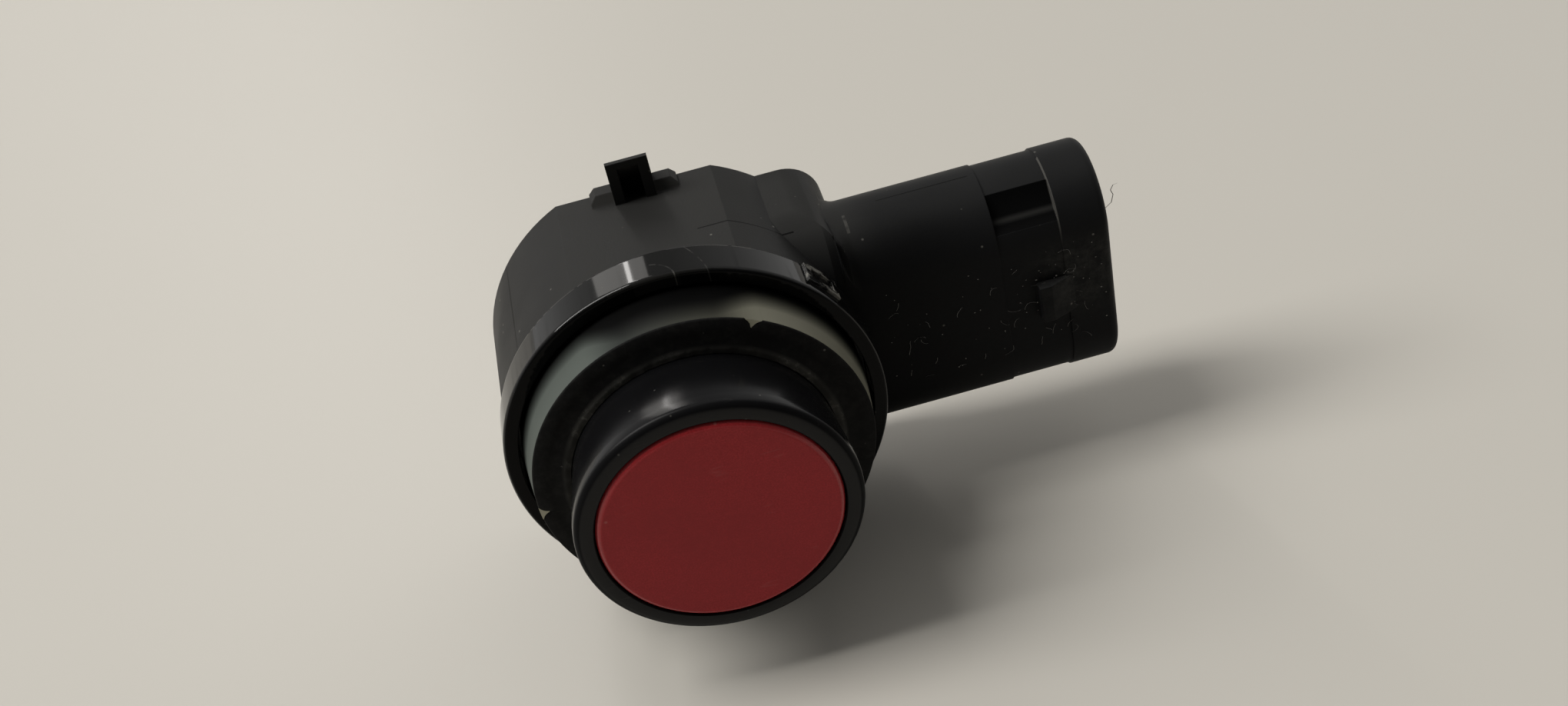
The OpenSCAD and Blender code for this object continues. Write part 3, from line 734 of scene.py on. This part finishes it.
def seat_flare(mesh, lowest):
    """Draws in the flare at the socket's root, so that its lip lies on the root block's round corner"""
    end, sunk = ROOT_X + FLARE / 2, 0.03 * MM
    corner_x, corner_z = ROOT_X - ROOT_CORNER, ROOT_Z - ROOT_CORNER
    meet = corner_z + math.sqrt(ROOT_CORNER ** 2 - (end - FLARE - corner_x) ** 2)
    for v in mesh.verts:
        up, out = abs(v.co.z) - KEY_CENTRE_Z, SOCKET_Y - v.co.y
        radius, run = math.hypot(up, out), end - v.co.x
        rise = radius - SOCKET_ROUND
        if up <= 0 or run <= 0 or abs(math.hypot(run, FLARE - rise) - FLARE) > NEAR:
            continue
        lip = max(lowest, (meet - KEY_CENTRE_Z) * radius / up - SOCKET_ROUND)
        if lip < FLARE:
            lip_z = KEY_CENTRE_Z + (SOCKET_ROUND + lip) * up / radius
            lip_x = corner_x + math.sqrt(ROOT_CORNER ** 2 - (lip_z - corner_z) ** 2) - sunk
            grown = (SOCKET_ROUND + rise * lip / FLARE) / radius
            v.co.x = end - run * (end - lip_x) / FLARE
            v.co.y = SOCKET_Y - out * grown
            v.co.z = math.copysign(KEY_CENTRE_Z + up * grown, v.co.z)


def slants(edge):
    """Whether an edge runs neither along the barrel's axis nor square to it"""
    first, second = (v.co for v in edge.verts)
    turned = abs(first.x * second.z - first.z * second.x) / COLLAR_R
    return min(turned, abs(first.y - second.y)) > NEAR


def round_collar(mesh, sizes):
    """Slices the collar's facets finely and draws the slices out to the true round"""
    front, inner = HOUSING_LOW.y, COLLAR_R - sizes.collar_wall
    lip_r, lip_y = COLLAR_R - sizes.collar_edge, front + sizes.collar_edge
    near, flat = 0.01 * MM, 0.001 * MM

    def on_collar(v):
        return v.co.y < near and inner - near < reach(v) < COLLAR_R + near

    band = [f for f in mesh.faces
            if all(on_collar(v) for v in f.verts) and any(v.co.y < -near for v in f.verts)
            and any(reach(v) > inner + near for v in f.verts)]
    if not band:
        raise RuntimeError("The housing has no collar to round")
    turns = [math.pi * k / COLLAR_STEPS for k in range(COLLAR_STEPS)]
    lifts = [math.pi / 2 * k / LIP_STEPS for k in range(1, LIP_STEPS)]
    cuts = [((0, lip_y - sizes.collar_edge * math.sin(lift), 0), (0, 1, 0)) for lift in lifts]
    cuts += [((0, 0, 0), (math.cos(turn), 0, math.sin(turn))) for turn in turns]
    parts = band + list({part for f in band for part in (*f.verts, *f.edges)})
    for place, across in cuts:
        parts = bmesh.ops.bisect_plane(mesh, geom=parts, dist=flat, plane_co=place,
                                       plane_no=across)["geom"]
    for v in (part for part in parts if isinstance(part, bmesh.types.BMVert)):
        drop = max(0.0, min(sizes.collar_edge, lip_y - v.co.y))
        true = lip_r + math.sqrt(sizes.collar_edge ** 2 - drop ** 2)
        if v.co.y < front + flat:
            true = next((r for r in (lip_r, inner) if abs(r - reach(v)) < near), reach(v))
        v.co.x *= true / reach(v)
        v.co.z *= true / reach(v)
    faces = {part for part in parts if isinstance(part, bmesh.types.BMFace)}
    slanted = [part for part in parts if isinstance(part, bmesh.types.BMEdge) and slants(part)
               and faces.issuperset(part.link_faces)]
    bmesh.ops.dissolve_edges(mesh, edges=slanted, use_verts=True)


# Operators

class SENSOR_OT_housing(bpy.types.Operator):
    """Finish the housing: seat the socket's flare, round the collar and give the moulding its look"""
    bl_idname = "sensor.housing"
    bl_label = "Housing"

    def execute(self, context):
        sizes = context.scene.sensor_sizes
        mesh = bmesh.new()
        mesh.from_mesh(frame["nodes"]["housing"].data)
        bmesh.ops.remove_doubles(mesh, verts=mesh.verts[:], dist=WELD)
        seat_flare(mesh, sizes.flare_lip)
        round_collar(mesh, sizes)
        add_piece("housing_moulding", mesh, housing_finish(context.scene.sensor_colours),
                  "housing")
        return {"FINISHED"}


class SENSOR_OT_membrane_cup(bpy.types.Operator):
    """Turn the aluminium cup and paint its face"""
    bl_idname = "sensor.membrane_cup"
    bl_label = "Membrane Cup"

    def execute(self, context):
        sizes = context.scene.sensor_sizes
        outer, front, back = CUP_HIGH.x, CUP_LOW.y, CUP_HIGH.y
        inner, floor = outer - sizes.cup_wall, front + sizes.cup_floor
        mesh = turned_mesh([(0, front), (outer, front), (outer, back), (inner, back), (inner, floor),
                            (0, floor)], TURN_STEPS)
        round_circle(mesh, outer, front, sizes.face_edge)
        add_piece("membrane_cup", mesh, face_finish(context.scene.sensor_colours),
                  "membrane_pot")
        return {"FINISHED"}


class SENSOR_OT_nose_sleeve(bpy.types.Operator):
    """Turn the smooth sleeve round the cup"""
    bl_idname = "sensor.nose_sleeve"
    bl_label = "Nose Sleeve"

    def execute(self, context):
        sizes = context.scene.sensor_sizes
        outer, front, back = SLEEVE_HIGH.x, SLEEVE_LOW.y, SLEEVE_HIGH.y
        inner, root = outer - sizes.sleeve_wall, outer - sizes.sleeve_taper
        shoulder = front + sizes.lip_round
        mesh = turned_mesh([(inner, front), (outer, front), (outer, shoulder + sizes.lip_round),
                            (root, SEAL_LOW.y), (root, back), (inner, back)], TURN_STEPS)
        round_circle(mesh, outer, front, sizes.lip_round, 6)
        round_circle(mesh, inner, front, 0.1 * MM, 3)
        add_piece("nose_sleeve_skin", mesh, sleeve_finish(context.scene.sensor_colours),
                  "nose_sleeve")
        return {"FINISHED"}


class SENSOR_OT_seal_ring(bpy.types.Operator):
    """Turn the rubber ring, notch its rim and roughen its ridge"""
    bl_idname = "sensor.seal_ring"
    bl_label = "Seal Ring"

    def execute(self, context):
        sizes = context.scene.sensor_sizes
        outer, front, back = SEAL_HIGH.x, SEAL_LOW.y, SEAL_HIGH.y
        inner = outer - sizes.ring_width
        crest, ridge = inner + sizes.ridge_width / 2, inner + sizes.ridge_width
        edge = front + sizes.ring_drop
        rim = edge + sizes.ring_rim
        dip, chamfer, crumb, crumb_scale = 0.15 * MM, 0.08 * MM, 0.05 * MM, 2600.0
        mesh = turned_mesh([(inner, front), (crest, front), (ridge, front),
                            (ridge + dip, front + dip), (outer - 1.3 * sizes.nib_depth, edge - 0.02 * MM),
                            (outer - chamfer, edge), (outer, edge + chamfer), (outer, rim), (inner, back)],
                           RIM_STEPS)
        for v in mesh.verts:
            if reach(v) > outer - 1.1 * chamfer:
                draw_in(v, nib_depth_at(v.co.x, v.co.z, sizes))
            elif reach(v) < ridge + dip / 2 and v.co.y < front + dip / 2:
                v.co.y += crumb * (noise.noise(v.co * crumb_scale) + 0.4)
        finish = rubber_finish(context.scene.sensor_colours, crest, sizes.ridge_width)
        add_piece("seal_ring_rubber", mesh, finish, "seal_ring", sharp=math.radians(50))
        return {"FINISHED"}


class SENSOR_OT_silicone_ring(bpy.types.Operator):
    """Turn the milky ring and grow its nibs"""
    bl_idname = "sensor.silicone_ring"
    bl_label = "Silicone Ring"

    def execute(self, context):
        sizes = context.scene.sensor_sizes
        outer, foot, back = SEAL_HIGH.x, SILICONE_HIGH.x, SILICONE_HIGH.y
        inner, front = outer - sizes.ring_width, SEAL_HIGH.y
        tip = SEAL_LOW.y + sizes.ring_drop + sizes.nib_slack
        rim, foot_front = SEAL_LOW.y + sizes.ring_drop + sizes.ring_rim, back - sizes.foot_length
        step = 0.002 * MM
        mesh = turned_mesh([(inner, front), (outer - 2 * step, rim), (outer - step, rim - step),
                            (outer, rim - step / 2), (foot, foot_front), (foot, back), (inner, back)],
                           RIM_STEPS)
        for v in mesh.verts:
            pull = nib_depth_at(v.co.x, v.co.z, sizes) - sizes.nib_slack
            if pull > 0 and v.co.y < rim + step and reach(v) > outer - 3 * step:
                if v.co.y < rim - step / 4:
                    v.co.y = tip
                if reach(v) < outer - step / 2:
                    draw_in(v, pull)
        bmesh.ops.recalc_face_normals(mesh, faces=mesh.faces[:])
        finish = silicone_finish(context.scene.sensor_colours)
        add_piece("silicone_ring_milky", mesh, finish, "silicone_ring")
        return {"FINISHED"}


class SENSOR_OT_rear_cover(bpy.types.Operator):
    """Turn the disc that closes the barrel's back"""
    bl_idname = "sensor.rear_cover"
    bl_label = "Rear Cover"

    def execute(self, context):
        rim, front, back = COVER_HIGH.x, COVER_LOW.y, COVER_HIGH.y
        chamfer, gate, floor = 0.25 * MM, 0.9 * MM, back - 0.3 * MM
        panel = rim - 2.2 * MM
        mesh = turned_mesh([(0, front), (rim, front), (rim, back - chamfer), (rim - chamfer, back),
                            (panel, back), (panel, floor), (gate, floor), (gate, back), (0, back)],
                           TURN_STEPS)
        corners = ((panel, back, 0.08 * MM), (panel, floor, 0.08 * MM), (gate, back, 0.06 * MM))
        for radius, y, width in corners:
            round_circle(mesh, radius, y, width, 3)
        finish = plain_finish("cover_plastic", (0.019, 0.019, 0.020), 0.5, grain_scale=7000.0)
        add_piece("rear_cover_disc", mesh, finish, "rear_cover")
        return {"FINISHED"}


class SENSOR_OT_inner_parts(bpy.types.Operator):
    """Give the terminals and the sealed inner pieces their finishes"""
    bl_idname = "sensor.inner_parts"
    bl_label = "Inner Parts"

    def execute(self, context):
        finishes = {
            "tinned_terminal": plain_finish("tinned_terminal", (0.62, 0.61, 0.56), 0.32, 1.0),
            "ceramic": plain_finish("silvered_ceramic", (0.60, 0.57, 0.46), 0.5),
            "foam": plain_finish("cell_foam", (0.10, 0.10, 0.11), 0.9, grain_scale=5000.0, spread=0.4),
            "copper": plain_finish("enamelled_copper", (0.55, 0.22, 0.08), 0.3, 1.0),
            "carrier_plastic": plain_finish("natural_plastic", (0.62, 0.58, 0.48), 0.5),
            "contact_brass": plain_finish("drawn_brass", (0.62, 0.44, 0.14), 0.3, 1.0),
            "board": plain_finish("green_resist", (0.01, 0.09, 0.03), 0.35),
            "chip": plain_finish("moulded_package", (0.015, 0.015, 0.017), 0.6),
            "ferrite": plain_finish("sintered_ferrite", (0.05, 0.045, 0.05), 0.55),
            "capacitor": plain_finish("ceramic_chip", (0.36, 0.22, 0.10), 0.5),
        }
        for part in frame["record"]["subparts"]:
            finish = finishes.get(part["material_slot"])
            if finish:
                node = frame["nodes"][part["node"]]
                node.data.materials.clear()
                node.data.materials.append(finish)
        return {"FINISHED"}


class SENSOR_OT_lint(bpy.types.Operator):
    """Scatter fibres and dust flecks over the socket's front"""
    bl_idname = "sensor.lint"
    bl_label = "Lint"

    def execute(self, context):
        sizes = context.scene.sensor_sizes
        chance = random.Random(LINT_SEED)
        stride = 0.12 * MM
        mesh = bmesh.new()
        for k in range(sizes.lint_count):
            place = self.spot(chance, k % 3 == 0)
            heading = chance.uniform(0, math.tau)
            bend = chance.uniform(-0.35, 0.35)
            path = [place]
            for _ in range(chance.randint(4, 9)):
                heading += bend + chance.uniform(-0.4, 0.4)
                step = Vector((math.cos(heading), chance.uniform(-0.2, 0.1), math.sin(heading)))
                path.append(path[-1] + stride * step)
            self.fibre(mesh, path, chance.uniform(0.009, 0.016) * MM)
        for k in range(sizes.fleck_count):
            place = self.spot(chance, k % 2 == 0)
            grain = chance.uniform(0.015, 0.04) * MM
            squash = Matrix.Diagonal((chance.uniform(0.7, 2.0), 0.5, chance.uniform(0.7, 1.6), 1.0))
            bmesh.ops.create_icosphere(mesh, subdivisions=1, radius=grain,
                                       matrix=Matrix.Translation(place) @ squash)
        bmesh.ops.recalc_face_normals(mesh, faces=mesh.faces[:])
        finish = plain_finish("lint", context.scene.sensor_colours.lint, 0.9, spread=0.35)
        add_piece("lint", mesh, finish)
        self.hairs()
        return {"FINISHED"}

    def hairs(self):
        """Two dark hairs that hang on the mouth's edge"""
        mesh = bmesh.new()
        rim = Vector((HOUSING_HIGH.x - 0.1 * MM, 2.6 * MM, 4.6 * MM))
        long_curl = ((0.0, 0.0, 0.0), (0.35, 0.1, 0.15), (0.75, 0.1, 0.45), (0.95, 0.2, 0.95),
                     (0.8, 0.2, 1.35), (1.0, 0.2, 1.7), (1.3, 0.2, 1.75))
        short_curl = ((-0.1, -0.1, -0.9), (0.2, 0.0, -0.7), (0.3, 0.0, -0.35), (0.15, 0.0, -0.1))
        for curl in (long_curl, short_curl):
            self.fibre(mesh, [rim + MM * Vector(step) for step in curl], 0.03 * MM)
        bmesh.ops.recalc_face_normals(mesh, faces=mesh.faces[:])
        add_piece("hairs", mesh, plain_finish("hair", (0.02, 0.018, 0.016), 0.7))

    def spot(self, chance, by_catch):
        """A place just off the socket's front, or close to its catch, worked out in millimetres"""
        near_x, far_x, half_z, lift = 13.2, 28.5, 4.0, 0.05
        across = chance.gauss(25.6, 1.7) if by_catch else chance.uniform(13.5, 28.4)
        along = chance.gauss(0.8, 1.6) if by_catch else chance.uniform(-3.8, 3.9)
        across, along = min(far_x, max(near_x, across)), min(half_z, max(-half_z, along))
        return Vector((across, SOCKET_FRONT / MM - lift, along)) * MM

    def fibre(self, mesh, path, radius):
        """A thin three-sided tube along a path"""
        corners = [Vector((math.cos(turn), math.sin(turn), 0.4 * math.sin(2 * turn))) * radius
                   for turn in (0.0, math.tau / 3, 2 * math.tau / 3)]
        loop = [mesh.verts.new(path[0] + corner) for corner in corners]
        edges = [mesh.edges.new((loop[k], loop[(k + 1) % 3])) for k in range(3)]
        ends = edges[:]
        for first, second in zip(path, path[1:]):
            grown = bmesh.ops.extrude_edge_only(mesh, edges=edges)["geom"]
            bmesh.ops.translate(mesh, verts=[g for g in grown if isinstance(g, bmesh.types.BMVert)],
                                vec=second - first)
            edges = [g for g in grown if isinstance(g, bmesh.types.BMEdge)]
        bmesh.ops.holes_fill(mesh, edges=ends + edges, sides=3)


class SENSOR_OT_stage(bpy.types.Operator):
    """Lay the floor, set the light and place the camera"""
    bl_idname = "sensor.stage"
    bl_label = "Stage"

    def execute(self, context):
        scene = context.scene
        stage = scene.sensor_stage
        scene.view_settings.view_transform = "Standard"
        self.lay_floor(scene, stage)
        self.light_room(scene)
        camera = bpy.data.objects.new("camera", bpy.data.cameras.new("camera"))
        camera.location = stage.camera_place
        camera.rotation_euler = Euler(stage.camera_turn, "XYZ")
        camera.data.sensor_fit = "HORIZONTAL"
        camera.data.sensor_width = FILM_WIDTH
        camera.data.lens = stage.lens
        camera.data.clip_start = 5 * MM
        scene.collection.objects.link(camera)
        scene.camera = camera
        return {"FINISHED"}

    def lay_floor(self, scene, stage):
        mesh = bmesh.new()
        level = Matrix.Translation((0, 0, CAD_BOX[0][2]))
        bmesh.ops.create_grid(mesh, x_segments=1, y_segments=1, size=stage.floor_size / 2, matrix=level)
        data = bpy.data.meshes.new("floor")
        mesh.to_mesh(data)
        mesh.free()
        data.materials.append(table_finish(scene.sensor_colours))
        floor = bpy.data.objects.new("floor", data)
        scene.collection.objects.link(floor)

    def light_room(self, scene):
        world = bpy.data.worlds.new("room")
        world.use_nodes = True
        tree = world.node_tree
        sky = tree.nodes["Background"]
        across, depth, height = axes_of(tree, tree.nodes.new("ShaderNodeTexCoord").outputs["Generated"])
        ramp = tree.nodes.new("ShaderNodeValToRGB")
        tree.links.new(height, ramp.inputs["Fac"])
        while len(ramp.color_ramp.elements) < len(SKY_LEVELS):
            ramp.color_ramp.elements.new(1.0)
        for stop, (place, level) in zip(ramp.color_ramp.elements, SKY_LEVELS):
            stop.position = place
            stop.color = (*(part * level for part in SKY_TINT), 1.0)
        tree.links.new(ramp.outputs["Color"], sky.inputs["Color"])
        front = span(tree, depth, -0.4, 0.2, 0.10, 1.0)
        sides = span(tree, math_node(tree, "ABSOLUTE", across), 0.1, 0.75, 1.0, 2.7)
        tree.links.new(all_of(tree, front, sides), sky.inputs["Strength"])
        scene.world = world
        self.lamp(scene, "window", place=(-0.122, 0.47, 0.34), size=(0.18, 0.30), watts=0.31,
                  colour=(1.0, 0.97, 0.92))
        self.lamp(scene, "window_gap", place=(-0.096, 0.47, 0.34), size=(0.016, 0.30), watts=0.15,
                  colour=(1.0, 0.98, 0.95))
        self.lamp(scene, "ceiling", place=(-0.92, 0.10, 1.35), size=(0.5, 1.2), watts=22.0,
                  colour=(1.0, 0.985, 0.955))

    def lamp(self, scene, name, place, size, watts, colour):
        light = bpy.data.lights.new(name, "AREA")
        light.shape = "RECTANGLE"
        light.size, light.size_y = size
        light.energy = watts
        light.color = colour
        lamp = bpy.data.objects.new(name, light)
        lamp.location = place
        lamp.rotation_euler = (-Vector(place)).to_track_quat("-Z", "Y").to_euler()
        scene.collection.objects.link(lamp)


class SENSOR_PT_panel(bpy.types.Panel):
    """The sensor's pieces, in the order that they are made"""
    bl_idname = "SENSOR_PT_panel"
    bl_label = "Parking Sensor"
    bl_space_type = "VIEW_3D"
    bl_region_type = "UI"
    bl_category = "Sensor"

    def draw(self, context):
        for operator in OPERATORS:
            self.layout.operator(operator.bl_idname)


GROUPS = (SensorSizes, SensorColours, SensorStage)
OPERATORS = (SENSOR_OT_housing, SENSOR_OT_membrane_cup, SENSOR_OT_nose_sleeve, SENSOR_OT_seal_ring,
             SENSOR_OT_silicone_ring, SENSOR_OT_rear_cover, SENSOR_OT_inner_parts, SENSOR_OT_lint,
             SENSOR_OT_stage)


def register():
    for item in (*GROUPS, *OPERATORS, SENSOR_PT_panel):
        bpy.utils.register_class(item)
    bpy.types.Scene.sensor_sizes = PointerProperty(type=SensorSizes)
    bpy.types.Scene.sensor_colours = PointerProperty(type=SensorColours)
    bpy.types.Scene.sensor_stage = PointerProperty(type=SensorStage)


def unregister():
    del bpy.types.Scene.sensor_stage
    del bpy.types.Scene.sensor_colours
    del bpy.types.Scene.sensor_sizes
    for item in reversed((*GROUPS, *OPERATORS, SENSOR_PT_panel)):
        bpy.utils.unregister_class(item)


def main():
    register()
    bpy.ops.sensor.housing()
    bpy.ops.sensor.membrane_cup()
    bpy.ops.sensor.nose_sleeve()
    bpy.ops.sensor.seal_ring()
    bpy.ops.sensor.silicone_ring()
    bpy.ops.sensor.rear_cover()
    bpy.ops.sensor.inner_parts()
    bpy.ops.sensor.lint()
    bpy.ops.sensor.stage()


if __name__ == "__main__":
    main()
